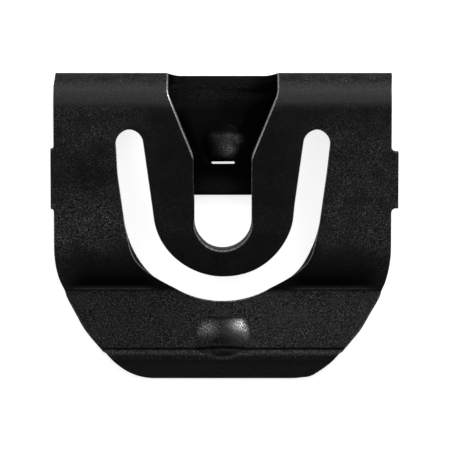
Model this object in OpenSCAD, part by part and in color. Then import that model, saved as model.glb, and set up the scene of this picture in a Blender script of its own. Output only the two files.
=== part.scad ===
// Molding clip: one strip of spring steel, blanked, slotted and folded.
// A headed stud slides down the keyhole, its head held between the front tongue and the back leg.
// The crease, ramp and nose below the plate catch the inner flange of a trim molding.
// The clip lies on its fold and on its lip, with the front plate up, as it comes to rest on a bench.

/* [Sheet] */
// Thickness of the steel sheet
sheet_t = 0.65; // [0.5:0.05:0.8]
// Width of the body between its side edges
body_w = 26.1; // [25:0.1:29]

/* [Fold and back leg] */
// Outer radius of the round fold at the top
fold_r = 2.45; // [2.3:0.05:2.9]
// How far the back leg leans in towards the front plate, in degrees
leg_lean = 13; // [12:0.5:15]
// Length of the back leg below the end of the fold
leg_len = 6.92; // [6.2:0.02:7.4]
// Width of the back leg
leg_w = 8.6; // [7:0.1:11]
// Radius of the rounded corners at the end of the back leg
leg_corner_r = 1.4; // [0.5:0.1:2.5]
// Height of the full-width yoke between the fold and the back leg
yoke_h = 0.95; // [0.8:0.05:1.3]
// Radius of the outer corners of the yoke
yoke_corner_r = 0.7; // [0.3:0.05:0.75]
// Radius of the inner corners where the leg leaves the yoke
leg_root_r = 1.2; // [0.5:0.1:1.6]

/* [Locking dome on the back leg] */
// Distance from the end of the fold to the middle of the dome
dome_drop = 2.9; // [2.7:0.05:3.2]
// Radius of the dome where it rises from the leg
dome_base_r = 1.55; // [1.3:0.05:1.8]
// Height of the dome above the leg
dome_h = 0.6; // [0.4:0.05:0.75]
// Width of the slit that is cut under the dome
slit_w = 1.8; // [1.4:0.05:2.2]
// Height of the slit
slit_h = 0.28; // [0.25:0.01:0.4]
// Overlap of the slit on the lower edge of the dome
slit_bite = 0.2; // [0.1:0.01:0.2]

/* [Keyhole for the stud] */
// Width of the straight slot, which the neck of the stud passes
stud_slot_w = 4.48; // [4.2:0.02:5.2]
// Distance from the fold to the seat of the stud
stud_drop = 8.74; // [8.4:0.02:9]
// Distance from the fold to the throat, where the slot stops widening
throat_drop = 3.67; // [3:0.05:4.5]
// Width of the mouth that runs over the fold
mouth_w = 8.58; // [7.5:0.02:9.4]
// How far round the fold the sides of the keyhole still widen, in degrees
taper_turn = 33.5; // [20:0.5:40]
// How far round the fold the mouth runs, in degrees
mouth_turn = 123.5; // [110:0.5:150]
// Corner radius at the end of the mouth
mouth_corner_r = 1.1; // [0.5:0.05:1.5]

/* [U-shaped slot round the tongue] */
// Width of the slot
slot_w = 2.26; // [1.8:0.01:2.6]
// Radius of the round end of the tongue
tongue_r = 5.44; // [5:0.02:5.8]
// Distance from the fold to the centre of the tongue's round end
tongue_drop = 7.65; // [7.3:0.05:7.9]
// Distance from the fold to the centres of the slot's round tops
slot_top_drop = 2.69; // [2:0.05:4]
// How far the arms of the slot lean outwards, in degrees
arm_lean = 7.8; // [4:0.1:10]

/* [Front plate and catch] */
// Length of the flat plate from the fold to the first bend
plate_len = 10.8; // [10.5:0.05:11.5]
// Front radius of the bend that drops towards the crease
drop_r = 5; // [4.2:0.1:5.8]
// How far the sheet turns back in that bend, in degrees
drop_angle = 35; // [32:0.5:38]
// Length of the flat between that bend and the crease
drop_len = 0.8; // [0.6:0.05:0.95]
// Front radius of the crease
crease_r = 0.35; // [0.25:0.05:0.6]
// Slope of the ramp that rises to the nose, in degrees
ramp_angle = 28; // [24:0.5:32]
// Length of the flat of the ramp
ramp_len = 4.6; // [4.2:0.05:5]
// Front radius of the nose
nose_r = 1.1; // [0.9:0.05:1.3]
// Slope of the lip below the nose, in degrees
lip_angle = 38; // [34:0.5:42]
// Length of the flat of the lip
lip_len = 1.7; // [1.4:0.02:2.1]

/* [Lower outline] */
// Distance from the fold to the start of the rounded shoulders
shoulder_drop = 10.84; // [10.2:0.02:11]
// Radius of the shoulders
shoulder_r = 9.55; // [8:0.05:10.5]
// Turn of the outline at the end of the shoulders, in degrees
shoulder_turn = 32; // [28:0.5:34]
// Radius of the flanks between the shoulders and the lip corners
flank_r = 21.2; // [17:0.1:25]
// Turn of the outline at the end of the flanks, in degrees
flank_turn = 47.5; // [44:0.5:50]

/* [Stubs of the carrier strip] */
// Distance from the fold to the top of the stubs
stub_drop = 3.13; // [2:0.05:4]
// Length of the stubs
stub_len = 4.5; // [3:0.05:5.5]
// How far the left stub stands out
stub_left = 0.24; // [0.21:0.01:0.8]
// How far the right stub stands out
stub_right = 0.54; // [0.36:0.01:0.8]
// Root radius of the left stub
stub_left_r = 0.2; // [0.05:0.01:0.2]
// Root radius of the right stub
stub_right_r = 0.35; // [0.1:0.01:0.35]

/* [Stop bump on the nose] */
// Distance up the ramp from the nose bend to the middle of the bump
bump_up = 1.2; // [1:0.05:1.4]
// Radius of the bump where it rises from the ramp
bump_base_r = 2.25; // [1.9:0.05:2.4]
// Height of the bump above the ramp
bump_h = 0.55; // [0.4:0.05:0.7]
// Distance from the middle of the bump to its straight upper shoulder
bump_shoulder = 1.25; // [1:0.05:1.4]
// Distance down the lip from the nose bend to the foot of the bump
bump_foot = 0.3; // [0.1:0.05:0.6]
// How much steeper than the lip the lower flank of the bump is, in degrees
bump_flank = 12; // [8:1:20]

/* [Hidden] */
$fn = 96;
// Straight steps in each computed arc of an outline and in each bend
arc_steps = 12;
// Reach of a cut past the metal that it goes through
past = 1;
// Lead of a rounded corner past the straight edge that it runs into
corner_lead = 0.03;

// The section of the strip: [distance up the plate from the fold line, distance in front of the plate]
// Flats and bends of the front strip going down: [flat length, turn away from the front, front radius]
front_chain = [
    [plate_len, drop_angle, drop_r],
    [drop_len, -drop_angle - ramp_angle, crease_r],
    [ramp_len, ramp_angle + lip_angle, nose_r]
];
BEND_DROP = 0;
BEND_CREASE = 1;
BEND_NOSE = 2;

// Going down at a slope below the plate plane: the direction, and the normal of the front face
function down(slope) = [-cos(slope), -sin(slope)];
function front_normal(slope) = [-sin(slope), cos(slope)];

// Slope of flat i, the points where it starts and ends, and the centre of the bend after it
function slope_of(i) = i == 0 ? 0 : slope_of(i - 1) + front_chain[i - 1][1];
function flat_start(i) = i == 0 ? [0, 0] : bend_point(i - 1, slope_of(i), 0);
function flat_end(i) = flat_start(i) + front_chain[i][0] * down(slope_of(i));
function bend_side(i) = sign(front_chain[i][1]);
function bend_centre(i) = flat_end(i) - bend_side(i) * front_chain[i][2] * front_normal(slope_of(i));

// Point of bend i where the sheet has this slope, at a depth under the front face
function bend_point(i, slope, depth) =
    bend_centre(i) + (bend_side(i) * front_chain[i][2] - depth) * front_normal(slope);

lip_start = bend_point(BEND_NOSE, lip_angle, 0);
lip_end = lip_start + lip_len * down(lip_angle);

// All points of the strip at a depth under its front face, from the fold line to the end of the lip
function face(depth) = concat(
    [[0, -depth]],
    [for (i = [BEND_DROP, BEND_CREASE, BEND_NOSE], k = [0 : arc_steps])
        bend_point(i, slope_of(i) + front_chain[i][1] * k / arc_steps, depth)],
    [lip_end - depth * front_normal(lip_angle)]
);

function reversed(list) = [for (i = [len(list) - 1 : -1 : 0]) list[i]];
function mirrored(list) = [for (p = reversed(list)) [-p[0], p[1]]];
function arc(centre, r, from, to) =
    [for (k = [0 : arc_steps])
        let (a = from + (to - from) * k / arc_steps) centre + r * [cos(a), sin(a)]];

// Points of the fold, turned round its axis from the plate
fold_axis = [0, -fold_r];
function fold_point(r, turn) = fold_axis + r * [sin(turn), cos(turn)];
leg_turn = 180 + leg_lean;
leg_down = [-cos(leg_lean), sin(leg_lean)];
leg_origin = fold_point(fold_r - sheet_t, leg_turn);

// Resting angle: the back of the fold lies on the floor, and so does a round of this radius at a point
function rest_on(point, r) = let (arm = fold_axis - point)
    asin((fold_r - r) / norm(arm)) - atan2(arm[1], arm[0]);

// The rear corner of the lip comes down on the floor first, unless the back of the crease is lower
lip_rear = lip_end - sheet_t * front_normal(lip_angle);
rest_angle = min(rest_on(lip_rear, 0), rest_on(bend_centre(BEND_CREASE), crease_r + sheet_t));
rest_height = fold_r * (1 + cos(rest_angle));
rest_front = fold_r * (1 + sin(rest_angle));
rest_back = lip_end[0] * cos(rest_angle) - lip_end[1] * sin(rest_angle);

// Radius of the sphere whose cap has this base radius and height
function cap_sphere_r(base_r, h) = (base_r * base_r + h * h) / (2 * h);

// Lower outline, right side: shoulder, flank and lip corner as three tangent arcs
half_w = body_w / 2;
lip_reach = -lip_end[0];
shoulder_c = [half_w - shoulder_r, -shoulder_drop];
flank_c = shoulder_c + (shoulder_r - flank_r) * [cos(shoulder_turn), -sin(shoulder_turn)];
flank_foot = flank_c + flank_r * [cos(flank_turn), -sin(flank_turn)];
lip_corner_r = (flank_foot[1] + lip_reach) / (1 - sin(flank_turn));
lip_corner_c = flank_foot - lip_corner_r * [cos(flank_turn), -sin(flank_turn)];

function stub_side(proud, root) = concat(
    arc([half_w + root, root - stub_drop], root, 180, 270),
    [[half_w + proud, -stub_drop], [half_w + proud, -stub_drop - stub_len]],
    arc([half_w + root, -stub_drop - stub_len - root], root, 90, 180)
);

function tail(points, first) = [for (i = [first : len(points) - 1]) points[i]];

function outline_side(proud, root) = concat(
    [[half_w, past]],
    stub_side(proud, root),
    arc(shoulder_c, shoulder_r, 0, -shoulder_turn),
    tail(arc(flank_c, flank_r, -shoulder_turn, -flank_turn), 1),
    tail(arc(lip_corner_c, lip_corner_r, -flank_turn, -90), 1),
    [[lip_corner_c[0], -lip_reach - past]]
);

// U-shaped slot: its right half from the bottom middle, the inner edge and the outer edge
slot_mid_r = tongue_r + slot_w / 2;
tongue_c = [0, -tongue_drop];
arm_foot = tongue_c + slot_mid_r * [cos(arm_lean), -sin(arm_lean)];
arm_up = [sin(arm_lean), cos(arm_lean)];
arm_top = arm_foot + arm_up * (-slot_top_drop - arm_foot[1]) / arm_up[1];

tongue_half = arc(tongue_c, tongue_r, -arm_lean, -90);
slot_half = concat(
    arc(tongue_c, tongue_r + slot_w, -90, -arm_lean),
    arc(arm_top, slot_w / 2, -arm_lean, 180 - arm_lean),
    tongue_half
);

// The tongue below the first bend stays flat, in a window of the frame, which drops away round it
window_half = arc(tongue_c, slot_mid_r, -arm_lean, -90);

// Back leg and yoke, right side, with the end of the fold at zero
leg_half = concat(
    [[half_w + corner_lead, fold_r]],
    arc([half_w + corner_lead - yoke_corner_r, yoke_corner_r - yoke_h], yoke_corner_r, 0, -90),
    arc([leg_w / 2 + leg_root_r, -yoke_h - leg_root_r], leg_root_r, 90, 180),
    arc([leg_w / 2 - leg_corner_r, leg_corner_r - leg_len], leg_corner_r, 0, -90)
);

// A section of the strip carried across the clip
module across(width) rotate([90, 0, 90]) linear_extrude(height = width, center = true) children();

// A plan shape carried through the sheet, from a depth below it to a height above it
module through(below, above) translate([0, 0, -below]) linear_extrude(height = below + above) children();

// Frames on the back leg, on the ramp and on the lip, with their own front face at zero
module on_leg() translate([0, leg_origin[0], leg_origin[1]]) rotate([-leg_lean, 0, 0]) children();
module on_front(point, slope) translate([0, point[0], point[1]]) rotate([slope, 0, 0]) children();

// Everything behind a plane, as a block that is far larger than the bump
module behind(size) translate([-size, -size, -2 * size]) cube([2 * size, 2 * size, 2 * size]);

// The part of a plan shape that lies below the flat plate
module below_plate() intersection() {
    children();
    translate([-half_w, -plate_len - half_w]) square([body_w, half_w]);
}

// Front strip in its outline, with the U-shaped slot and the room for the flat tongue cut out
module front_strip() {
    difference() {
        intersection() {
            across(body_w + 2 * (stub_left + stub_right)) polygon(concat(face(0), reversed(face(sheet_t))));
            through(fold_r, fold_r)
                polygon(concat(outline_side(stub_right, stub_right_r),
                    mirrored(outline_side(stub_left, stub_left_r))));
        }
        through(fold_r, fold_r) polygon(concat(slot_half, mirrored(slot_half)));
        through(fold_r, fold_r) below_plate() polygon(concat(window_half, mirrored(window_half)));
    }
    through(sheet_t, 0) below_plate() polygon(concat(tongue_half, mirrored(tongue_half)));
}

// Round fold from the plate over the top to the back
module fold() {
    across(body_w) intersection() {
        translate(fold_axis) difference() {
            circle(r = fold_r);
            circle(r = fold_r - sheet_t);
        }
        translate([0, -2 * fold_r - past]) square([fold_r + past, 2 * (fold_r + past)]);
    }
}

// Yoke and back leg, leaning in from the end of the fold
module back_leg() {
    lean_turns = [for (k = [0 : arc_steps]) 180 + leg_lean * k / arc_steps];
    outer = concat([for (a = lean_turns) fold_point(fold_r, a)],
        [fold_point(fold_r, leg_turn) + (leg_len + past) * leg_down]);
    inner = concat([for (a = lean_turns) fold_point(fold_r - sheet_t, a)],
        [leg_origin + (leg_len + past) * leg_down]);
    intersection() {
        across(body_w) polygon(concat(outer, reversed(inner)));
        on_leg() through(fold_r, fold_r) polygon(concat(leg_half, mirrored(leg_half)));
    }
}

// The bar of the fold that stays behind the end of the mouth, with rounded inner corners
module mouth_bar() {
    corner_c = [mouth_w / 2 + corner_lead - mouth_corner_r, -mouth_corner_r];
    side = concat([[mouth_w / 2 + past, 2 * fold_r], [mouth_w / 2 + past, -mouth_corner_r]],
        arc(corner_c, mouth_corner_r, 0, 90));
    translate([0, fold_axis[0], fold_axis[1]]) rotate([-mouth_turn, 0, 0])
        linear_extrude(height = fold_r + past) polygon(concat(side, mirrored(side)));
}

// Cut for the keyhole: the round seat, the straight slot, the taper and the mouth over the fold
module keyhole() {
    slot_half_w = stud_slot_w / 2;
    taper_top = fold_r * sin(taper_turn);
    side = [[slot_half_w, -stud_drop], [slot_half_w, -throat_drop], [mouth_w / 2, taper_top],
        [mouth_w / 2, fold_r + past]];
    translate([0, -stud_drop, -sheet_t - past]) cylinder(r = slot_half_w, h = sheet_t + 2 * past);
    difference() {
        through(2 * fold_r + past, past) polygon(concat(side, mirrored(side)));
        mouth_bar();
    }
}

// Locking dome: a cap of even thickness raised from the leg towards the plate, with a slit under it
dome_sphere_r = cap_sphere_r(dome_base_r, dome_h);

module dome_ball(inset)
    on_leg() translate([0, -dome_drop, dome_h - dome_sphere_r]) sphere(r = dome_sphere_r - inset);

module dome_cap() intersection() {
    dome_ball(0);
    on_leg() translate([-dome_base_r, -dome_drop - dome_base_r, -sheet_t / 2])
        cube([2 * dome_base_r, 2 * dome_base_r, sheet_t / 2 + dome_h]);
}

module dome_slit() {
    slit_drop = dome_drop + dome_base_r - slit_bite + slit_h / 2;
    on_leg() translate([-slit_w / 2, -slit_drop - slit_h / 2, -sheet_t - past])
        cube([slit_w, slit_h, sheet_t + dome_h + 2 * past]);
}

// Stop bump: a cap on the ramp, with a straight upper shoulder and a lower flank that runs out on the lip
bump_sphere_r = cap_sphere_r(bump_base_r, bump_h);
bump_seat = flat_end(BEND_NOSE) - bump_up * down(-ramp_angle);
bump_foot_point = lip_start + bump_foot * down(lip_angle);

module bump_form(inset) intersection() {
    on_front(bump_seat, -ramp_angle)
        translate([0, 0, bump_h - bump_sphere_r]) sphere(r = bump_sphere_r - inset);
    on_front(bump_seat, -ramp_angle)
        translate([0, bump_shoulder - inset, 0]) rotate([-90, 0, 0]) behind(2 * bump_sphere_r);
    on_front(bump_foot_point, lip_angle + bump_flank)
        translate([0, 0, -inset]) behind(2 * bump_sphere_r);
}

module bump_cap() intersection() {
    bump_form(0);
    across(2 * bump_base_r + 2 * past)
        polygon(concat(face(sheet_t / 2), [[lip_end[0], fold_r], [0, fold_r]]));
}

module clip_in_plate_frame() {
    difference() {
        union() {
            front_strip();
            fold();
            bump_cap();
        }
        keyhole();
        bump_form(sheet_t);
    }
    difference() {
        union() {
            back_leg();
            dome_cap();
        }
        dome_ball(sheet_t);
        dome_slit();
    }
}

module molding_clip() color([0.12, 0.12, 0.12])
    translate([(stub_left - stub_right) / 2, -(rest_front + rest_back) / 2, rest_height])
        rotate([rest_angle, 0, 0]) clip_in_plate_frame();

molding_clip();
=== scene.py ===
from math import asin, atan2, cos, hypot, pi, radians, sin
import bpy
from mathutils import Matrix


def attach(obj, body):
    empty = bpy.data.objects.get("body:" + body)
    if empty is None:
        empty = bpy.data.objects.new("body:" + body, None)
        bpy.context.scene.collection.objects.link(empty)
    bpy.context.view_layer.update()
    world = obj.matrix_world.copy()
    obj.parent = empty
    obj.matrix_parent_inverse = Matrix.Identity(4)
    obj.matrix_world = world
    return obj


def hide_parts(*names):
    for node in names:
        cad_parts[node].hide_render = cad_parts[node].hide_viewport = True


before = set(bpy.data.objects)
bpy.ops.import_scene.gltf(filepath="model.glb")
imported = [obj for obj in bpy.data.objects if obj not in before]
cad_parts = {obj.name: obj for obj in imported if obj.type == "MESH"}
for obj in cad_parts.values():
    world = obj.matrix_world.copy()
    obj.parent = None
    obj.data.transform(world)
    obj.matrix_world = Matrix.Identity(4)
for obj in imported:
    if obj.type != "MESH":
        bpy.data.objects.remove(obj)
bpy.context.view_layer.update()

from types import SimpleNamespace

import bmesh
import bpy
import numpy as np
from mathutils import Vector
from mathutils.geometry import delaunay_2d_cdt
from mathutils.kdtree import KDTree

MM = 0.001

# Sizes of the clip in millimetres, angles in degrees. A drop is a distance below the fold line.

# Sheet, fold, yoke and back leg
SHEET_T = 0.65
HALF_W = 13.05
FOLD_R = 2.45
LEG_TURN = 193.0
LEG_LEN = 6.92
LEG_HALF = 4.3
LEG_CORNER_R = 1.4
LEG_ROOT_R = 1.2
YOKE_H = 0.95
YOKE_CORNER_R = 0.7
FOLD_END = FOLD_R * radians(LEG_TURN)
LEG_END = FOLD_END + LEG_LEN

# Front face below the fold line, and its flats with the angle and the radius of the bend after each
PLATE_LEN = 10.8
DROP_ANGLE = 35.0
DROP_R = 5.0
DROP_LEN = 0.8
CREASE_R = 0.35
RAMP_ANGLE = 28.0
RAMP_LEN = 4.6
NOSE_R = 1.1
LIP_ANGLE = 38.0
LIP_LEN = 1.7
CHAIN = (
    (PLATE_LEN, DROP_ANGLE, DROP_R),
    (DROP_LEN, -DROP_ANGLE - RAMP_ANGLE, CREASE_R),
    (RAMP_LEN, RAMP_ANGLE + LIP_ANGLE, NOSE_R))

# Die grooves: depth, place above the start of the bend, width
NOSE_GROOVE = (0.04, 0.03, 0.06)
CREASE_GROOVE = (0.03, -0.2, 0.05)

# Stubs of the carrier strip: how far they stand out, root radius, drop of the top and of the end
STUB_RIGHT = (0.54, 0.35, 3.34, 7.75)
STUB_LEFT = (0.24, 0.2, 3.13, 7.79)
STUB_NIP = 0.07

# Lower outline, and how much fuller each side is: over the fold, at the crease, on the flank, at the
# lip's corner and at the flank's foot
SHOULDER_DROP = 10.84
SHOULDER_R = 9.55
SHOULDER_TURN = 32.0
FLANK_R = 21.2
FLANK_TURN = 47.5
FULL_RIGHT = (0.05, 0.2, 0.21, 0.11, -0.07)
FULL_LEFT = (-0.1, 0.1, 0.19, 0.0, -0.11)

# Keyhole, the lean of its wall to the front and to the rear, and how far its sides lie off their plan:
# the taper's left side, the top of that side, the taper's right side, and the left side of the slot
KEY_HALF = 2.24
KEY_DROP = 8.7
THROAT_DROP = 3.67
MOUTH_HALF = 4.29
TAPER_TURN = 33.5
MOUTH_TURN = 123.5
MOUTH_CORNER_R = 1.1
MOUTH_END = FOLD_R * radians(MOUTH_TURN)
KEY_LEAN = (0.13, 0.05)
KEY_OFF = (0.06, 0.03, -0.05, 0.07)

# U-shaped slot and its tongue. The offsets are those of the right arm's outer side, of the outer sides at
# the two tips, of the tongue's edge outwards, on its right and in its middle, and of the tongue's sides.
SLOT_W = 2.26
TONGUE_R = 5.44
TONGUE_DROP = 7.65
SLOT_TOP_DROP = 2.69
ARM_LEAN = 7.8
SLOT_MID_R = TONGUE_R + SLOT_W / 2
SLOT_RIGHT_OFF = -0.085
SLOT_TIP_OFF = (-0.06, 0.2)
TONGUE_GROWN = (0.07, 0.03)
TONGUE_OFF = 0.055

# Bow of the slot's outer edge: lift of its middle, swell and its place and spread in degrees, sag
BOW_UP = 0.13
BOW_SWELL = (0.27, 31, 10)
BOW_SAG = 0.3

# Locking dome and the slit under it, with their drops from the fold's end down the leg
DOME_DROP = 2.9
DOME_R = 1.55
DOME_H = 0.6
DOME_FADE = 0.08
DOME_SINK = 0.03
DOME_REACH = 2.6
SLIT_DROP = 4.41
SLIT_HALF = 0.9
SLIT_H = 0.2
SLIT_SIDE = 0.04

# Stop bump: place above the nose, radius, height, shoulder, foot and flank, how they run together, how far
# the bump goes down and up the ramp, and the half width and the height above the nose it is worked out in
BUMP_UP = 1.2
BUMP_R = 2.25
BUMP_H = 0.55
BUMP_SHOULDER = 1.39
BUMP_SHOULDER_RISE = 1.9
BUMP_FOOT = 0.62
BUMP_FLANK = 42.0
BUMP_EASE = (0.12, 0.09)
BUMP_FADE = 0.05
BUMP_SINK = 0.02
BUMP_SPAN = (-3.2, 2.2)
BUMP_NEAR = (3.2, 4)

# Roundings of the cut edges on the front face and on the rear face
EDGE_R = 0.05
KEY_EDGE_R = 0.13
RAMP_EDGE_R = 0.1
STUB_EDGE_R = 0.025
SLIT_EDGE_R = 0.02
EDGE_BACK_R = 0.04

# How far the coat is rubbed off the edges; on their roundings this is partly real wear and partly painted
# highlight
EDGE_WEAR_AND_HIGHLIGHT = {"outline": 0.23, "slot": 0.6, "keyhole": 1.0, "slit": 0.13}

# Painted highlights on the lit sides of the dome and of the bump, as bare metal: strength, and place and
# spread, each across and along the sheet
DOME_HIGHLIGHTS = (
    (0.26, (0.55, 0.55), (0.42, 0.42)),
    (0.12, (1.15, -0.3), (0.35, 0.35)),
    (0.028, (-0.65, -0.62), (0.45, 0.2)))
BUMP_HIGHLIGHTS = (
    (1.0, (1.6, 0.8), (0.75, 0.5)),
    (0.4, (-1.3, 0.45), (0.75, 0.45)),
    (0.25, (2.0, 0.1), (0.4, 0.6)))

# Spacing of the mesh: flats, bends, grooves, pressed forms, and gaps kept free along the edges
FLAT_STEP = 0.34
BEND_STEP = 0.17
GROOVE_STEP = 0.03
FORM_STEP = 0.085
FLAT_GAP = 0.11
FORM_GAP = 0.06
GRID_HALF = 14.2


# Helpers

def ease(a, b, t):
    """A smooth step from 0 at a to 1 at b."""
    k = np.clip((np.asarray(t, float) - a) / (b - a), 0, 1)
    return k * k * (3 - 2 * k)


def window(t, a0, a1, b0, b1):
    """1 between two places, eased on both sides."""
    return ease(a0, a1, t) * (1 - ease(b0, b1, t))


def band(t, at, width):
    """A soft band, 1 in its middle."""
    return np.exp(-((t - at) / width) ** 2)


def spot(x, y, at, size):
    """A soft spot, 1 in its middle."""
    return np.exp(-((x - at[0]) / size[0]) ** 2 - ((y - at[1]) / size[1]) ** 2)


def arc(cx, cy, r, a0, a1, step=0.11):
    n = max(4, int(abs(radians(a1 - a0)) * r / step))
    a = np.radians(np.linspace(a0, a1, n + 1))
    return np.stack([cx + r * np.cos(a), cy + r * np.sin(a)], 1)


def filled(path, step=0.16):
    """The same path with points added on its long straight pieces."""
    out = [path[:1]]
    for a, b in zip(path[:-1], path[1:]):
        d = np.hypot(*(b - a))
        if d < 1e-6:
            continue
        n = max(1, int(round(d / step)))
        out.append(a + (b - a) * (np.arange(1, n + 1) / n)[:, None])
    return np.concatenate(out)


def soften(path, corner, reach):
    """The corner of a path eased over this reach on each side."""
    at = int(np.argmin(np.hypot(*(path - corner).T)))
    run = np.concatenate([[0], np.cumsum(np.hypot(*np.diff(path, axis=0).T))])
    i = int(np.searchsorted(run, run[at] - reach))
    j = int(np.searchsorted(run, run[at] + reach)) - 1
    t = np.linspace(0, 1, max(5, j - i + 1))[:, None]
    bend = (1 - t) ** 2 * path[i] + 2 * t * (1 - t) * path[at] + t * t * path[j]
    return np.concatenate([path[:i], bend, path[j + 1:]])


def mirrored(path):
    return path[::-1] * np.array([-1, 1])


def closed(half):
    """The whole loop of a half that starts and ends on the clip's axis."""
    return np.concatenate([half[:-1], mirrored(half)[:-1]])


# The sheet is laid out flat: x across, u along its front face, zero at the fold line,
# positive over the fold and down the back leg, negative down the plate to the lip.

def chain_runs():
    """Runs of the front face below the fold line: start, point, slope and turn per millimetre."""
    runs, at, point, slope = [], 0.0, np.zeros(2), 0.0
    for flat, turn, r in CHAIN:
        runs.append((at, point, slope, 0.0))
        point = point - flat * np.array([cos(slope), sin(slope)])
        at += flat
        rate = np.sign(turn) / r
        runs.append((at, point, slope, rate))
        turned = slope + radians(turn)
        point = point + np.array([sin(slope) - sin(turned), cos(turned) - cos(slope)]) / rate
        at += abs(radians(turn)) * r
        slope = turned
    runs.append((at, point, slope, 0.0))
    return runs


RUNS = chain_runs()
_, DROP_AT, _, CREASE_AT, RAMP_AT, NOSE_AT, LIP_AT = (run[0] for run in RUNS)


def front(u):
    """Points of the front face in the plate frame and the slope there."""
    u = np.asarray(u, float)
    v, w, slope = np.zeros_like(u), np.zeros_like(u), np.zeros_like(u)
    ends = [run[0] for run in RUNS[1:]] + [np.inf]
    for (at, point, start, rate), end in zip(RUNS, ends):
        m = (u <= 0) & (-u >= at) & (-u < end)
        run = -u[m] - at
        slope[m] = start + rate * run
        if rate:
            v[m] = point[0] - (np.sin(slope[m]) - sin(start)) / rate
            w[m] = point[1] + (np.cos(slope[m]) - cos(start)) / rate
        else:
            v[m] = point[0] - run * cos(start)
            w[m] = point[1] - run * sin(start)
    m = u > 0
    turn = np.minimum(u[m], FOLD_END) / FOLD_R
    past = np.maximum(u[m] - FOLD_END, 0)
    slope[m] = -turn
    v[m] = FOLD_R * np.sin(turn) + past * np.cos(turn)
    w[m] = FOLD_R * (np.cos(turn) - 1) - past * np.sin(turn)
    return v, w, slope


def front_point(u):
    """One point of the front face on the clip's axis."""
    v, w, _ = front(np.array([u]))
    return np.array([0, v[0], w[0]])


def rest():
    """Tilt and place of the clip that lies on its fold and on the rear corner of its lip."""
    v, w, slope = (float(a[0]) for a in front(np.array([-LIP_AT - LIP_LEN])))
    arm = -v - SHEET_T * sin(slope), -FOLD_R - w + SHEET_T * cos(slope)
    tilt = asin(FOLD_R / hypot(*arm)) - atan2(arm[1], arm[0])
    reach = FOLD_R * (1 + sin(tilt)) + v * cos(tilt) - w * sin(tilt)
    return tilt, ((STUB_LEFT[0] - STUB_RIGHT[0]) / 2, -reach / 2, FOLD_R * (1 + cos(tilt)))


# Tables of the front face to a little past the lip's end, and of both faces in the plan of the resting clip
REST, REST_AT = rest()
TABLE_S = np.linspace(0, LIP_AT + LIP_LEN + 1.5, 6000)
TABLE_V, TABLE_W, TABLE_SLOPE = front(-TABLE_S)
PLAN_FRONT = TABLE_V * cos(REST) - TABLE_W * sin(REST)
PLAN_REAR = PLAN_FRONT + SHEET_T * np.sin(TABLE_SLOPE + REST)


def u_front(v):
    """Flat place of the front face that lies at this distance up the plate, seen from the front."""
    v = np.asarray(v, float)
    over = FOLD_R * np.arcsin(np.clip(v / FOLD_R, 0, 1))
    return np.where(v > 0, over, -np.interp(-v, -TABLE_V, TABLE_S))


def u_plan(y, plan):
    """Flat place of the face that lies at this place in the plan of the resting clip."""
    return -np.interp(-np.asarray(y, float), -plan, TABLE_S)


# Cut edges: each gives its loop on the front face and its loop on the rear face

def outline_half(stub, full):
    """One half of the outer edge, from the middle of the leg's end to the middle of the lip's end."""
    proud, root, stub_top, stub_end = stub
    at_fold, at_crease, at_flank, at_corner, at_foot = full
    nip = min(STUB_NIP, 0.8 * (proud - root))
    top = filled(np.concatenate([
        [[0, LEG_END]],
        arc(LEG_HALF - LEG_CORNER_R, LEG_END - LEG_CORNER_R, LEG_CORNER_R, 90, 0),
        arc(LEG_HALF + LEG_ROOT_R, FOLD_END + YOKE_H + LEG_ROOT_R, LEG_ROOT_R, 180, 270),
        arc(HALF_W - YOKE_CORNER_R, FOLD_END + YOKE_H - YOKE_CORNER_R, YOKE_CORNER_R, 90, 0),
        arc(HALF_W + root, -stub_top + root, root, 180, 270, 0.05),
        arc(HALF_W + proud - nip, -stub_top - nip, nip, 90, 0, 0.02),
        arc(HALF_W + proud - nip, -stub_end + nip, nip, 0, -90, 0.02),
        arc(HALF_W + root, -stub_end - root, root, 90, 180, 0.05)]))
    top[:, 0] += at_fold * ease(1.6, 3.4, top[:, 1]) * (top[:, 0] > HALF_W - 0.9)
    shoulder = np.array([HALF_W - SHOULDER_R, -SHOULDER_DROP])
    turn = np.radians(SHOULDER_TURN)
    flank = shoulder + (SHOULDER_R - FLANK_R) * np.array([cos(turn), -sin(turn)])
    turn = np.radians(FLANK_TURN)
    foot = flank + FLANK_R * np.array([cos(turn), -sin(turn)])
    reach = -front_point(-LIP_AT - LIP_LEN)[1]
    r = (foot[1] + reach) / (1 - sin(turn))
    corner = foot - r * np.array([cos(turn), -sin(turn)])
    x, v = filled(np.concatenate([
        arc(*shoulder, SHOULDER_R, 0, -SHOULDER_TURN),
        arc(*flank, FLANK_R, -SHOULDER_TURN, -FLANK_TURN)[1:],
        arc(*corner, r, -FLANK_TURN, -90)[1:],
        [[0, -reach]]])).T
    fuller = at_crease * band(v, -15.0, 1.4) + at_flank * band(v, -17.5, 1.15)
    x = x + (fuller * (x > 6) + at_foot * ease(18.2, 19.2, -v) * ease(3, 6, x))
    v = np.maximum(v - at_corner * band(x, 6.85, 0.5), -reach)
    # On the ramp the rear edge of the wall shows, so the front edge lies higher
    v = v + SHEET_T * sin(radians(RAMP_ANGLE)) * window(-v, 12.8, 15.2, 18.0, 20.0)
    return np.concatenate([top, filled(np.stack([x, u_front(v)], 1))])


def outline():
    right = outline_half(STUB_RIGHT, FULL_RIGHT)
    left = mirrored(outline_half(STUB_LEFT, FULL_LEFT))
    loop = np.concatenate([right[:-1], left[:-1]])
    return loop, loop


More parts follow.
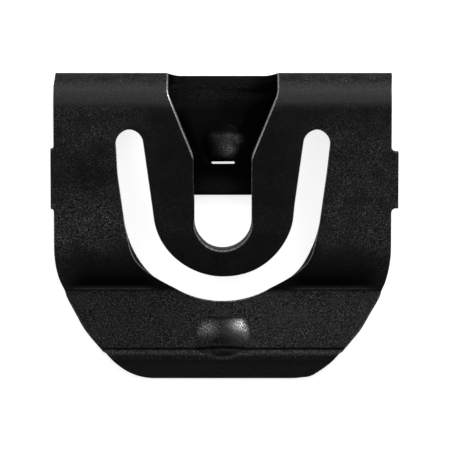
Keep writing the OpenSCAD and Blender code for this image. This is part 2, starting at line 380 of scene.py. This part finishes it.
def uneven(loop):
    """The slot's edge with the small differences of its two sides."""
    x, u = loop.T
    below = u + TONGUE_DROP
    r = np.hypot(x, below)
    arm_x = SLOT_MID_R / cos(radians(ARM_LEAN)) + below * np.tan(radians(ARM_LEAN))
    outer = ease(-0.6, 0.6, np.where(u > -TONGUE_DROP, np.abs(x) - arm_x, r - SLOT_MID_R))
    tip = ease(-5.5, -2.4, u)
    off = np.where(x > 0, SLOT_RIGHT_OFF + SLOT_TIP_OFF[0] * tip, SLOT_TIP_OFF[1] * tip) * ease(-13, -11, u)
    grown = TONGUE_GROWN[1] * (1 - ease(0, 3, -x)) + TONGUE_GROWN[0] * ease(0, 3, x)
    low = ease(-TONGUE_DROP + 0.5, -TONGUE_DROP - 2, u)
    step = np.stack([x, below], 1) * (grown * low * (1 - outer) / r)[:, None]
    step[:, 0] += outer * off + (1 - outer) * TONGUE_OFF * ease(-TONGUE_DROP - 3, -TONGUE_DROP, u)
    return loop + step


def slot():
    """U-shaped slot, with the frame falling away round the tongue."""
    lean = radians(ARM_LEAN)
    foot = np.array([SLOT_MID_R * cos(lean), -TONGUE_DROP - SLOT_MID_R * sin(lean)])
    up = np.array([sin(lean), cos(lean)])
    top = foot + up * (-SLOT_TOP_DROP - foot[1]) / up[1]
    inner = filled(np.concatenate([
        arc(*top, SLOT_W / 2, -ARM_LEAN, 180 - ARM_LEAN),
        arc(0, -TONGUE_DROP, TONGUE_R, -ARM_LEAN, -90)]))
    deg = np.linspace(90, ARM_LEAN, 110)
    turn = np.radians(deg)
    swell, swell_at, swell_width = BOW_SWELL
    sag = BOW_SAG * ease(38, 60, deg)
    r_front = TONGUE_R + SLOT_W + swell * band(deg, swell_at, swell_width) - sag
    r_rear = TONGUE_R + SLOT_W - sag * ease(34, 60, deg)
    middle = BOW_UP - TONGUE_DROP * cos(REST)
    loops = []
    for r, plan in ((r_front, PLAN_FRONT), (r_rear, PLAN_REAR)):
        bow = np.stack([r * np.cos(turn), u_plan(middle - r * np.sin(turn), plan)], 1)
        link = np.linspace(bow[-1], inner[0], 30)
        loops.append(uneven(closed(np.concatenate([bow, link[1:-1], inner]))))
    return loops


def keyhole():
    """Keyhole: its wall leans a little, so that the edge on the rear face lies higher up the plate."""
    taper_left, taper_left_top, taper_right, slot_left = KEY_OFF
    taper_top = FOLD_R * sin(radians(TAPER_TURN))
    taper = filled(np.array([[KEY_HALF, -THROAT_DROP], [MOUTH_HALF, taper_top]]), 0.1)
    taper[:, 1] = u_front(taper[:, 1])
    half = filled(np.concatenate([
        arc(0, -KEY_DROP, KEY_HALF, -90, 0, 0.09),
        taper,
        arc(MOUTH_HALF - MOUTH_CORNER_R, MOUTH_END - MOUTH_CORNER_R, MOUTH_CORNER_R, 0, 90, 0.09),
        [[0, MOUTH_END]]]), 0.12)
    half = soften(half, taper[-1], 0.45)
    half = soften(half, taper[0], 0.25)
    x, u = closed(half).T
    off = np.where(x < 0, taper_left + taper_left_top * ease(-1.2, -0.4, u), taper_right)
    x = x + off * window(u, -THROAT_DROP, -THROAT_DROP + 0.4, MOUTH_END - 1.6, MOUTH_END - 1.0)
    x = x + slot_left * (x < 0) * window(-u, 5.5, 7.5, KEY_DROP + 1.4, KEY_DROP + 2.2)
    loop = np.stack([x, u], 1)
    step = np.stack([np.zeros(len(loop)), 1 - ease(0.0, 2.5, u)], 1)
    return loop - KEY_LEAN[0] * step, loop + KEY_LEAN[1] * step


def slit():
    at, r = FOLD_END + SLIT_DROP, SLIT_H / 2
    ends = [
        arc(SLIT_SIDE + SLIT_HALF - r, at, r, -90, 90, 0.04),
        arc(SLIT_SIDE + r - SLIT_HALF, at, r, 90, 270, 0.04)]
    loop = filled(np.concatenate(ends), 0.08)[:-1]
    return loop, loop


LOOPS = {"outline": outline(), "slot": slot(), "keyhole": keyhole(), "slit": slit()}


# Pressed forms: the height of the sheet over its own plain surface

def soft_top(a, b, k):
    """The smaller of two heights with the edge between them eased."""
    h = np.clip(0.5 + 0.5 * (b - a) / k, 0, 1)
    return b + (a - b) * h - k * h * (1 - h)


def bump(x, u):
    """Height of the stop bump along the front normal."""
    v, w, slope = front(u)
    p = np.stack([x, v, w], 1)
    n = np.stack([np.zeros_like(x), -np.sin(slope), np.cos(slope)], 1)
    up = np.array([0, cos(radians(RAMP_ANGLE)), -sin(radians(RAMP_ANGLE))])
    out = np.array([0, sin(radians(RAMP_ANGLE)), cos(radians(RAMP_ANGLE))])
    seat = front_point(-NOSE_AT + BUMP_UP)
    ball_r = (BUMP_R ** 2 + BUMP_H ** 2) / (2 * BUMP_H)
    rel = p - (seat + (BUMP_H - ball_r) * out)
    b = (rel * n).sum(1)
    ball = np.sqrt(np.maximum(b * b - (rel * rel).sum(1) + ball_r ** 2, 0)) - b
    foot = front_point(-NOSE_AT - BUMP_FOOT)
    dip = radians(BUMP_FLANK)
    flank_n = np.array([0, -sin(dip), cos(dip)])
    flank = -((p - foot) * flank_n).sum(1) / np.maximum((n * flank_n).sum(1), 0.05)
    y = (p - seat) @ up
    shoulder = (BUMP_SHOULDER - y) * BUMP_SHOULDER_RISE
    h = soft_top(soft_top(ball, flank, BUMP_EASE[0]), shoulder, BUMP_EASE[1])
    h = 0.5 * (h + np.sqrt(h * h + BUMP_FADE ** 2)) - BUMP_SINK
    return np.maximum(h, 0) * ((y > BUMP_SPAN[0]) & (y < BUMP_SPAN[1]))


def dome(x, u):
    """Height of the locking dome, towards the plate."""
    ball_r = (DOME_R ** 2 + DOME_H ** 2) / (2 * DOME_H)
    y = u - FOLD_END - DOME_DROP
    rho2 = x * x + y * y
    h = np.sqrt(np.maximum(ball_r ** 2 - rho2, 0)) - (ball_r - DOME_H)
    h = 0.5 * (h + np.sqrt(h * h + DOME_FADE ** 2)) - DOME_SINK
    return np.maximum(h, 0) * (rho2 < DOME_REACH ** 2)


def pressed(x, u):
    """Heights of the bump and of the dome, each worked out only on the points near it."""
    near_bump = (np.abs(x) < BUMP_NEAR[0]) & (u < -NOSE_AT + BUMP_NEAR[1])
    heights = []
    for form, near in ((bump, near_bump), (dome, u > FOLD_END)):
        h = np.zeros_like(x)
        h[near] = form(x[near], u[near])
        heights.append(h)
    return heights


# Finish and painted light: the state of the coat on the flat sheet, from 0 to 1, with painted shade and
# painted highlights in it.
# Places and widths are in millimetres on the sheet, and the strengths are tuned by mean tones against the
# photo.

def zones(x, u):
    """Places on the sheet that the finish follows."""
    z = SimpleNamespace()
    z.s = -u
    z.dome_y = u - FOLD_END - DOME_DROP
    z.bump_y = NOSE_AT - BUMP_UP - z.s
    z.tongue = (z.s > TONGUE_DROP) & (np.hypot(x, u + TONGUE_DROP) < SLOT_MID_R)
    z.rim = np.maximum(ease(10.6, 12.6, np.abs(x)), 1 - ease(4.9, 6.3, np.abs(x)))
    # Inside of the fold, seen through the mouth, and the back leg
    inner = ease(3.6, 5.0, u) * (np.abs(x) < MOUTH_HALF + 0.2)
    z.leg = np.maximum(ease(FOLD_END - 2.5, FOLD_END - 0.5, u), inner)
    z.deep = 0.5 * ease(FOLD_END - 2.0, FOLD_END - 0.9, u) + 0.5 * ease(FOLD_END - 0.9, FOLD_END + 0.4, u)
    # Shade beside the keyhole's walls, the right one most
    down = np.clip((u - FOLD_END + 1.33) / 5.36, 0, 1)
    wall_x = MOUTH_HALF - (MOUTH_HALF - KEY_HALF) * down
    under_left = ease(-0.9, 0.0, -x - wall_x) * ease(FOLD_END, FOLD_END + 2, u)
    in_fold = ease(-3.7, -1.0, x - wall_x) * (1 - ease(FOLD_END - 2.2, FOLD_END - 0.6, u))
    z.shade = np.maximum(0.6 * ease(-2.2, -0.1, x - wall_x) + 0.4 * under_left, 0.9 * in_fold)
    # Pressed forms
    bump_h, dome_h = pressed(x, u)
    z.dome = ease(0.03, 0.3, dome_h)
    z.bump_foot, z.bump = ease(0.02, 0.22, bump_h), ease(0.1, 0.45, bump_h)
    return z


def coarseness(x, u, z):
    """How coarse the grain is."""
    left = 0.9 - 0.45 * band(z.s, 5, 1.6) - 0.3 * band(z.s, 1.8, 1.6)
    right = 0.66 - 0.5 * band(z.s, 0, 1.2)
    plate = np.where(x < 0, left, right) * ease(4.5, 9.5, np.abs(x)) * (0.8 + 0.3 * ease(5, 10, z.s)) + 0.1
    on_plate = ease(-0.6, 0.4, z.s)
    grain = plate * on_plate + (0.2 + 0.4 * ease(1.5, 2.8, u)) * (1 - on_plate)
    fall = ease(DROP_AT - 1.4, DROP_AT + 1.2, z.s)
    grain = grain * (1 - fall) + (0.1 + 0.4 * z.rim) * fall
    grain = np.where(z.s > CREASE_AT + 0.15, 1.0, grain)
    grain = np.where(z.s > NOSE_AT, 0.7 - 0.55 * ease(NOSE_AT + 0.3, NOSE_AT + 0.9, z.s), grain)
    grain = np.where(z.tongue, 0.17, grain)
    grain = grain * (1 - z.leg) + (0.45 - 0.2 * z.deep + 0.35 * z.dome) * z.leg
    return grain * (1 - (0.1 + 0.6 * window(x, -0.8, 0.6, 1.7, 2.2)) * z.bump)


def painted_shading(x, u, z):
    """How far painted shade darkens the coat and takes away its reflection; a few places are just darker.
    """
    # Painted shade on the back leg and the inside of the fold, darkest round the dome and under the slit
    low = ease(FOLD_END + SLIT_DROP + 0.2, FOLD_END + SLIT_DROP + 1.2, u)
    around = np.maximum(
        spot(x, z.dome_y, (0, 0.5), (2.4, 1.6)),
        1.5 * spot(x, u, (0, FOLD_END + SLIT_DROP + 0.7), (3.0, 0.85)))
    dark = (0.88 - 0.08 * low) * z.deep + 0.12 * around + z.shade * (1 - 0.8 * low)
    inner = z.leg * np.minimum(dark, 1) * (1 - z.dome)
    veil = window(u, MOUTH_END + 0.2, MOUTH_END + 1.0, FOLD_END + 0.6, FOLD_END + 1.6)
    inner = 1 - (1 - inner) * (1 - (0.7 - 0.2 * z.deep) * ease(-0.9, 0.5, x) * veil)
    # Painted shade on the strip at the mouth's end, up to its cut edge
    bar = window(u, MOUTH_END - 1.2, MOUTH_END - 0.7, MOUTH_END + 0.04, MOUTH_END + 0.1)
    bar = bar * (0.85 + 0.12 * ease(1.8, 3.3, x) + 0.09 * ease(2.4, 3.4, -x))
    bar = bar * (np.abs(x) < MOUTH_HALF + 0.02)
    # Painted shade on the drop, on the ramp and on the nose, and dark lines painted into the die grooves
    fallen = 0.75 * ease(DROP_AT + 0.6, DROP_AT + 3.2, z.s) * (z.s < CREASE_AT + 0.15) * ~z.tongue
    fallen = fallen * (1 - 0.7 * z.rim)
    groove = np.maximum(band(z.s, NOSE_AT - 0.09, 0.18), 0.6 * band(z.s, CREASE_AT + 0.24, 0.06))
    on_nose = z.s < NOSE_AT + 0.6
    ramp = (0.4 + 0.16 * ease(2, -5, x)) * ((z.s > CREASE_AT + 0.15) & on_nose)
    ramp = ramp + 0.15 * ((z.s > NOSE_AT) & on_nose)
    # Darker patch on the left of the plate; the tongue darker towards its tip, and the middle of the plate
    # a little darker
    patch = 0.42 * spot(x, z.s, (-10.5, 5), (2.5, 1.8))
    middle = (1 - ease(4.5, 5.5, np.abs(x))) * ((z.s < TONGUE_DROP) | z.tongue)
    tip = np.maximum(0.4 * ease(TONGUE_DROP, 12, z.s) * z.tongue, 0.12 * ease(1.0, 2.5, z.s) * middle)
    # Painted shade over the dome but for its lit side
    lit = ease(-0.9, -0.5, z.dome_y - 0.14 * (x - 0.3) ** 2) * (0.6 + 0.4 * ease(-0.6, 0.5, z.dome_y))
    lit = lit * (1 - ease(1.15, 1.75, x + 0.45 * np.clip(z.dome_y, 0, 1))) * ease(-1.3, 0.5, x)
    lit = lit * (1 - ease(0.85, 1.3, z.dome_y))
    crown = (0.94 + 0.05 * ease(-0.5, 0.2, z.dome_y) - lit) * (np.hypot(x, z.dome_y) < 1.8)
    # Painted shade along the bump's shoulder and on its lower side
    shoulder = 0.85 * band(z.bump_y, 1.42, 0.1) * (1 - ease(1.1, 1.6, np.abs(x + 0.1)))
    belly = 0.8 * z.bump_foot * spot(x, z.bump_y, (-0.1, -0.6), (1.7, 0.6))
    return np.maximum.reduce([inner, bar, fallen, groove, ramp, patch, tip, crown, shoulder, belly])


def rub_and_painted_light(x, u, z):
    """How far the coat is worn off, and where light and highlights are painted on as bare metal."""
    # Lines along the crease and along the nose, which bulges under the bump, partly real wear and partly
    # painted highlight, with painted light on the lower end of the drop above the crease
    bulge = band(x, 0, 1.3)
    nose = (0.09 + 0.08 * bulge) * band(z.s, NOSE_AT + 0.23 + 0.4 * bulge, 0.18 - 0.06 * bulge)
    lower = 0.12 * (1 - z.rim) * ease(CREASE_AT - 0.45, CREASE_AT, z.s) * (z.s < CREASE_AT + 0.02)
    rub = lower + nose + 0.3 * (1 - z.rim) * band(z.s, CREASE_AT + 0.05, 0.05)
    # Painted light on the inside of the fold, up to the cut edge at the mouth's end, kept off the painted
    # shade
    glow = window(u, MOUTH_END + 0.003, MOUTH_END + 0.02, MOUTH_END + 0.6, MOUTH_END + 1.3)
    glow = 0.1 * glow * (np.abs(x) < MOUTH_HALF - 0.3) * (1 - 0.8 * ease(1.2, 3.4, x))
    hollow = window(u, MOUTH_END + 0.05, MOUTH_END + 0.3, FOLD_END - 1.2, FOLD_END - 0.2)
    hollow = 0.04 * hollow * (1 - np.minimum(z.shade * 1.6, 1)) * (np.abs(x) < MOUTH_HALF)
    # Painted highlights on the lit sides of the dome and of the bump
    on_dome = [strength * spot(x, z.dome_y, at, size) for strength, at, size in DOME_HIGHLIGHTS]
    on_bump = sum(strength * spot(x, z.bump_y, at, size) for strength, at, size in BUMP_HIGHLIGHTS)
    return np.maximum.reduce([rub, glow, hollow, on_bump * z.bump_foot] + on_dome)


# Mesh of the sheet

def is_tongue(x, u):
    return (u < -PLATE_LEN) & (np.hypot(x, u + TONGUE_DROP) < SLOT_MID_R)


def lay(x, u, depth):
    """Places of points of the sheet in the part's frame, at a depth under its front face."""
    v, w, slope = front(u)
    flat = is_tongue(x, u)
    v, w, slope = np.where(flat, u, v), np.where(flat, 0, w), np.where(flat, 0, slope)
    bump_h, dome_h = pressed(x, u)
    lift = bump_h - dome_h
    for at, (deep, above, width) in ((NOSE_AT, NOSE_GROOVE), (CREASE_AT, CREASE_GROOVE)):
        lift -= deep * band(u + at, above, width) * ~flat
    d = depth - lift
    v, w = v + d * np.sin(slope), w - d * np.cos(slope)
    return np.stack([x + REST_AT[0], v * cos(REST) - w * sin(REST) + REST_AT[1],
                     v * sin(REST) + w * cos(REST) + REST_AT[2]], 1)


def wall(front_edge, rear_edge, depth):
    """Points of a cut edge at a depth, on straight lines between its two edges as the clip lies."""
    share = depth / SHEET_T
    flat = front_edge * (1 - share[:, None]) + rear_edge * share[:, None]
    bent = (front_edge[:, 1] < -PLATE_LEN) & ~is_tongue(front_edge[:, 0], front_edge[:, 1])
    for i in np.flatnonzero(bent):
        y = (1 - share[i]) * np.interp(-front_edge[i, 1], TABLE_S, PLAN_FRONT)
        y += share[i] * np.interp(-rear_edge[i, 1], TABLE_S, PLAN_REAR)
        flat[i, 1] = u_plan(y, PLAN_FRONT + share[i] * (PLAN_REAR - PLAN_FRONT))
    return flat


def inward(loop):
    """Directions from a loop into the metal, for the outer edge; a hole takes them the other way."""
    a, b = loop - np.roll(loop, 1, 0), np.roll(loop, -1, 0) - loop
    a, b = a / np.hypot(*a.T)[:, None], b / np.hypot(*b.T)[:, None]
    n = np.stack([-(a + b)[:, 1], (a + b)[:, 0]], 1)
    n = n / np.hypot(*n.T)[:, None]
    square = np.stack([-a[:, 1], a[:, 0]], 1)
    n = n / np.maximum((n * square).sum(1), 0.6)[:, None]
    area = (loop[:, 0] * np.roll(loop[:, 1], -1) - np.roll(loop[:, 0], -1) * loop[:, 1]).sum()
    return n * np.sign(area)


def inside(points, loops):
    """Even-odd test of points against all the loops."""
    hit = np.zeros(len(points), bool)
    for loop in loops:
        ends = np.roll(loop, -1, 0)
        for (x0, y0), (x1, y1) in zip(loop, ends):
            if y0 == y1:
                continue
            m = (points[:, 1] < y0) != (points[:, 1] < y1)
            at = x0 + (points[m, 1] - y0) * (x1 - x0) / (y1 - y0)
            hit[m] ^= points[m, 0] < at
    return hit


def grid(loops):
    """Points inside the sheet, closer together on the bends and on the pressed forms."""
    rows = np.concatenate([np.arange(*span) for span in (
        (-LIP_AT - LIP_LEN, -LIP_AT, 0.3),
        (-LIP_AT, -NOSE_AT - 0.2, 0.09),
        (-NOSE_AT - 0.2, -NOSE_AT + 0.25, GROOVE_STEP),
        (-NOSE_AT + 0.25, -RAMP_AT, 0.3),
        (-RAMP_AT, -CREASE_AT + 0.15, GROOVE_STEP),
        (-CREASE_AT + 0.15, -DROP_AT, 0.2),
        (-DROP_AT, 0, FLAT_STEP),
        (0, FOLD_END, BEND_STEP),
        (FOLD_END, LEG_END, FLAT_STEP))])
    points = []
    for i, u in enumerate(rows):
        x = np.arange(-GRID_HALF, GRID_HALF, FLAT_STEP) + (FLAT_STEP / 2 if i % 2 else 0)
        points.append(np.stack([x, np.full_like(x, u)], 1))
    points = np.concatenate(points)
    fine = []
    for cu, hw, hh in ((-NOSE_AT + 0.3, 2.7, 2.5), (FOLD_END + DOME_DROP, 2.0, 2.0)):
        points = points[~((np.abs(points[:, 0]) < hw) & (np.abs(points[:, 1] - cu) < hh))]
        gx, gu = np.meshgrid(np.arange(-hw, hw, FORM_STEP), np.arange(cu - hh, cu + hh, FORM_STEP))
        gx[::2] += 0.04
        fine.append(np.stack([gx.ravel(), gu.ravel()], 1))
    edge_points = np.concatenate(loops)
    tree = KDTree(len(edge_points))
    for i, (x, y) in enumerate(edge_points):
        tree.insert((x, y, 0), i)
    tree.balance()

    def clear(some, gap):
        """Those of the points that lie in the metal, at least this far from its edges."""
        some = some[inside(some, loops)]
        return some[[tree.find((x, y, 0))[2] > gap for x, y in some]]

    return np.concatenate([clear(points, FLAT_GAP)] + [clear(f, FORM_GAP) for f in fine])


def skin(loops):
    """Triangles of one face of the sheet: the loops' points first, then the points inside."""
    points = np.concatenate(loops + [grid(loops)])
    edges, start = [], 0
    for loop in loops:
        n = len(loop)
        edges.extend((start + i, start + (i + 1) % n) for i in range(n))
        start += n
    _, _, faces, origin, _, _ = delaunay_2d_cdt([Vector(p) for p in points], edges, [], 0, 1e-7)
    faces = np.array([[origin[i][0] for i in f] for f in faces])
    faces = faces[inside(points[faces].mean(1), loops)]
    return points, faces


def edge_state(kind, loop):
    """Rounding, rub on the rounding and rub on the wall of a cut edge, at each point of its front loop; on
    the keyhole the rub is partly painted highlight.
    """
    x, u = loop.T
    radius, rub, side = np.full(len(loop), EDGE_R), np.ones(len(loop)), np.zeros(len(loop))
    if kind == "outline":
        radius[np.abs(x) > HALF_W + 0.02] = STUB_EDGE_R
        for _ in range(3):
            radius = np.minimum(radius, (np.roll(radius, 1) + radius + np.roll(radius, -1)) / 3)
    elif kind == "slot":
        radius = EDGE_R + (RAMP_EDGE_R - EDGE_R) * ease(CREASE_AT + 0.2, CREASE_AT + 0.8, -u)
        rub = 0.5 + 0.5 * ease(8, 10, -u)
    elif kind == "keyhole":
        end = ease(4.2, 4.8, u)
        taper = ease(-THROAT_DROP - 0.3, -THROAT_DROP + 0.1, u) * (1 - end)
        seat = 1 - ease(-KEY_DROP - 0.6, -KEY_DROP + 0.3, u)
        radius = EDGE_R + (KEY_EDGE_R - EDGE_R) * np.maximum(taper, seat)
        # The keyhole's rub is partly painted highlight, stronger along the taper and the seat and different
        # on its two sides
        gain_left = 0.9 + 1.1 * ease(-0.9, -0.4, u) - 1.35 * ease(1.0, 1.5, u)
        gain_right = 0.85 + 1.15 * ease(1.2, 3.4, -u) - 0.3 * ease(0.1, 0.6, u)
        along = np.where(x < 0, 0.1, 0.38) * (1 - taper) * (1 - seat) * (1 - 0.5 * end)
        rub = np.where(x < 0, gain_left, gain_right) * taper + 0.4 * seat + along
        side = 0.2 * seat
    else:
        radius[:] = SLIT_EDGE_R
    return radius, EDGE_WEAR_AND_HIGHLIGHT[kind] * rub, side


def edge_rings(kind, loop_front, loop_rear):
    """Rings of a cut edge, from the front face over both roundings to the rear face: place, depth, rub."""
    hole = 1 if kind == "outline" else -1
    n_front, n_rear = hole * inward(loop_front), hole * inward(loop_rear)
    r_front, rub, side = edge_state(kind, loop_front)
    r_rear = np.minimum(r_front, EDGE_BACK_R)
    none = np.zeros(len(loop_front))
    levels = []
    for step in range(6):
        a = step * pi / 10
        levels.append((r_front * (1 - sin(a)), r_front * (1 - cos(a)), rub if 0 < step < 5 else none))
    for share in (0.33, 0.67):
        levels.append((none, r_front + share * (SHEET_T - r_rear - r_front), side))
    for step in range(4):
        a = (3 - step) * pi / 6
        levels.append((r_rear * (1 - sin(a)), SHEET_T - r_rear * (1 - cos(a)), side if step < 2 else none))
    rings = []
    for inset, depth, worn in levels:
        edges = loop_front + n_front * inset[:, None], loop_rear + n_rear * inset[:, None]
        share = (depth / SHEET_T)[:, None]
        flat = wall(*edges, depth) if kind == "slot" else edges[0] * (1 - share) + edges[1] * share
        rings.append((flat, depth, worn))
    return rings


def sheet_mesh(name):
    """One closed mesh: the rings of the cut edges and the skins of both faces, with the finish, the painted
    shade and the painted light on it.
    """
    co, wear_and_painted_light, flat_at, faces = [], [], [], []

    def add(flat, depth, rub):
        """Adds points of the sheet and gives their numbers."""
        start = sum(len(f) for f in flat_at)
        co.append(lay(flat[:, 0], flat[:, 1], depth))
        wear_and_painted_light.append(rub)
        flat_at.append(flat)
        return np.arange(start, start + len(flat))

    rings = [edge_rings(kind, *loops) for kind, loops in LOOPS.items()]
    numbers = [[add(*ring) for ring in edge] for edge in rings]
    for edge in numbers:
        for a, b in zip(edge[:-1], edge[1:]):
            faces.extend(np.stack([a, np.roll(a, -1), np.roll(b, -1), b], 1).tolist())
    for face, depth in ((0, 0.0), (-1, SHEET_T)):
        points, triangles = skin([edge[face][0] for edge in rings])
        on_edges = np.concatenate([edge[face] for edge in numbers])
        within = points[len(on_edges):]
        added = add(within, np.full(len(within), depth), np.zeros(len(within)))
        faces.extend(np.concatenate([on_edges, added])[triangles].tolist())
    mesh = bpy.data.meshes.new(name)
    mesh.from_pydata((np.concatenate(co) * MM).tolist(), [], faces)
    bm = bmesh.new()
    bm.from_mesh(mesh)
    bmesh.ops.recalc_face_normals(bm, faces=bm.faces)
    if bm.calc_volume(signed=True) < 0:
        bmesh.ops.reverse_faces(bm, faces=bm.faces)
    bm.to_mesh(mesh)
    bm.free()
    mesh.polygons.foreach_set("use_smooth", np.ones(len(mesh.polygons), bool))
    x, u = np.concatenate(flat_at).T
    z = zones(x, u)
    painted_shade = painted_shading(x, u, z)
    # Edge wear fades under the painted shade; the painted light and the rub come on top
    wear_and_painted_light = np.maximum(np.concatenate(wear_and_painted_light) * (1 - painted_shade), 0.65 * rub_and_painted_light(x, u, z))
    for title, values in (("wear_and_painted_light", wear_and_painted_light), ("grain", coarseness(x, u, z)), ("painted_shade", painted_shade)):
        layer = mesh.attributes.new(title, "FLOAT", "POINT")
        layer.data.foreach_set("value", values.astype(np.float32))
    return mesh


# Material: satin black coat, smooth on the fold, the tongue and the lip, grainy on the plate and the ramp,
# with painted shade and painted light from the sheet's attributes

SPECK_SCALE = 11000
CLOUD_SCALE = 800
COAT = (0.003, 0.003, 0.003)
COAT_GRAIN = (0.163, 0.163, 0.16)
# Colour of the coat where shade is painted
COAT_IN_SHADE = (0.002, 0.002, 0.002)
# Bare metal, shown where the coat is worn and where highlights are painted
BARE_METAL = (0.85, 0.85, 0.84)
RELIEF = 0.000012


def black_spring_steel():
    mat = bpy.data.materials.new("black_spring_steel")
    mat.use_nodes = True
    nodes, links = mat.node_tree.nodes, mat.node_tree.links
    shader = nodes["Principled BSDF"]
    place = nodes.new("ShaderNodeTexCoord")

    def noise(scale, detail, rough):
        n = nodes.new("ShaderNodeTexNoise")
        n.inputs["Scale"].default_value = scale
        n.inputs["Detail"].default_value = detail
        n.inputs["Roughness"].default_value = rough
        links.new(place.outputs["Object"], n.inputs["Vector"])
        return n.outputs["Fac"]

    def attribute(name):
        n = nodes.new("ShaderNodeAttribute")
        n.attribute_name = name
        return n.outputs["Fac"]

    def math(kind, a, b):
        n = nodes.new("ShaderNodeMath")
        n.operation = kind
        for socket, value in zip(n.inputs, (a, b)):
            if isinstance(value, (int, float)):
                socket.default_value = value
            else:
                links.new(value, socket)
        return n.outputs["Value"]

    def spread(value, a, b, low, high):
        n = nodes.new("ShaderNodeMapRange")
        for socket, v in zip(("From Min", "From Max", "To Min", "To Max"), (a, b, low, high)):
            n.inputs[socket].default_value = v
        links.new(value, n.inputs["Value"])
        return n.outputs["Result"]

    def blend(factor, a, b):
        n = nodes.new("ShaderNodeMix")
        n.data_type = "RGBA"
        links.new(factor, n.inputs["Factor"])
        for socket, value in zip((n.inputs[6], n.inputs[7]), (a, b)):
            if isinstance(value, tuple):
                socket.default_value = (*value, 1)
            else:
                links.new(value, socket)
        return n.outputs[2]

    wear_and_painted_light, grain, painted_shade = attribute("wear_and_painted_light"), attribute("grain"), attribute("painted_shade")
    speck = noise(SPECK_SCALE, 1.0, 0.6)
    cloud = noise(CLOUD_SCALE, 3.0, 0.6)
    coarse = math("MULTIPLY", grain, spread(cloud, 0.3, 0.7, 0.35, 1.35))
    fleck = math("MULTIPLY", math("POWER", spread(speck, 0.44, 0.72, 0.0, 1.0), 1.5), coarse)
    # Painted shade darkens the coat and its grain
    body = blend(painted_shade, blend(fleck, COAT, COAT_GRAIN), COAT_IN_SHADE)
    # Rubbed places and painted highlights are even on a smooth coat and sparkle on a coarse one
    plain, sparkle = spread(speck, 0.36, 0.6, 0.35, 1.0), spread(speck, 0.44, 0.66, 0.05, 1.9)
    extra = math("MULTIPLY", math("SUBTRACT", sparkle, plain), math("MINIMUM", coarse, 1.0))
    wear_and_painted_light = math("MINIMUM", math("MULTIPLY", wear_and_painted_light, math("ADD", plain, extra)), 1.0)
    links.new(blend(wear_and_painted_light, body, BARE_METAL), shader.inputs["Base Color"])
    links.new(math("MULTIPLY", wear_and_painted_light, 0.9), shader.inputs["Metallic"])
    links.new(spread(coarse, 0.0, 1.0, 0.24, 0.6), shader.inputs["Roughness"])
    # Painted shade also takes away the coat's reflection
    gloss = math("MULTIPLY", spread(painted_shade, 0.0, 1.0, 0.5, 0.0), spread(coarse, 0.0, 1.0, 1.0, 0.25))
    links.new(gloss, shader.inputs["Specular IOR Level"])
    relief = nodes.new("ShaderNodeBump")
    relief.inputs["Distance"].default_value = RELIEF
    links.new(spread(coarse, 0.0, 1.0, 0.06, 0.8), relief.inputs["Strength"])
    links.new(speck, relief.inputs["Height"])
    links.new(relief.outputs["Normal"], shader.inputs["Normal"])
    return mat


def build():
    clip = bpy.data.objects.new("molding_clip_sheet", sheet_mesh("molding_clip_sheet"))
    bpy.context.scene.collection.objects.link(clip)
    clip.data.materials.append(black_spring_steel())
    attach(clip, "root")
    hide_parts("molding_clip")


# Floor, lights and camera, in metres; the sensor and the lens in millimetres

FLOOR_HALF = 0.6
FLOOR_COLOUR = (0.9, 0.9, 0.9, 1)
FLOOR_GLOW = 0.8
WORLD_COLOUR = (0.08, 0.08, 0.08, 1)
SENSOR = 36
LENS = 413.15
CLIP = (0.01, 10)
CAMERA_AT = (0.0388 * MM, 0.078 * MM, 402.5 * MM)

# Soft boxes: name, place, target, size and glow from each part of the surface
SOFTBOXES = (
    ("softbox_left", (-0.35, 0.30, 0.46), (-0.35, 0.30, 0), (0.7, 0.73), 0.56),
    ("softbox_right", (0.35, 0.38, 0.46), (0.35, 0.38, 0), (0.7, 0.7), 0.84),
    ("softbox_back", (0, 0.8, 0.33), (0, 0, 0.33), (1.4, 0.6), 0.8),
    ("key_right", (0.27, 0.41, 0.34), (0, 0, 0), (0.24, 0.2), 6.0),
    ("side_right", (0.23, -0.14, 0.42), (0, 0, 0), (0.12, 0.12), 1.5),
    ("key_left", (-0.28, 0.33, 0.42), (0, 0, 0), (0.2, 0.2), 1.6))


def lay_floor():
    mesh = bpy.data.meshes.new("floor")
    h = FLOOR_HALF
    mesh.from_pydata([(-h, -h, 0), (h, -h, 0), (h, h, 0), (-h, h, 0)], [], [(0, 1, 2, 3)])
    floor = bpy.data.objects.new("floor", mesh)
    bpy.context.scene.collection.objects.link(floor)
    mat = bpy.data.materials.new("pale_floor")
    mat.use_nodes = True
    shader = mat.node_tree.nodes["Principled BSDF"]
    shader.inputs["Base Color"].default_value = FLOOR_COLOUR
    shader.inputs["Roughness"].default_value = 0.9
    shader.inputs["Emission Color"].default_value = (1, 1, 1, 1)
    shader.inputs["Emission Strength"].default_value = FLOOR_GLOW
    mesh.materials.append(mat)
    floor.visible_glossy = False


def light_and_camera():
    scene = bpy.context.scene
    for name, at, target, size, glow in SOFTBOXES:
        light = bpy.data.lights.new(name, "AREA")
        light.shape = "RECTANGLE"
        light.size, light.size_y = size
        light.energy = glow * pi * size[0] * size[1]
        box = bpy.data.objects.new(name, light)
        box.location = at
        box.rotation_euler = (Vector(target) - Vector(at)).to_track_quat("-Z", "Y").to_euler()
        scene.collection.objects.link(box)
    scene.world = bpy.data.worlds.new("studio")
    scene.world.use_nodes = True
    scene.world.node_tree.nodes["Background"].inputs["Color"].default_value = WORLD_COLOUR
    optics = bpy.data.cameras.new("camera")
    optics.sensor_width = SENSOR
    optics.lens = LENS
    optics.clip_start, optics.clip_end = CLIP
    camera = bpy.data.objects.new("camera", optics)
    camera.location = CAMERA_AT
    scene.collection.objects.link(camera)
    scene.camera = camera
    scene.view_settings.view_transform = "Standard"


build()
lay_floor()
light_and_camera()
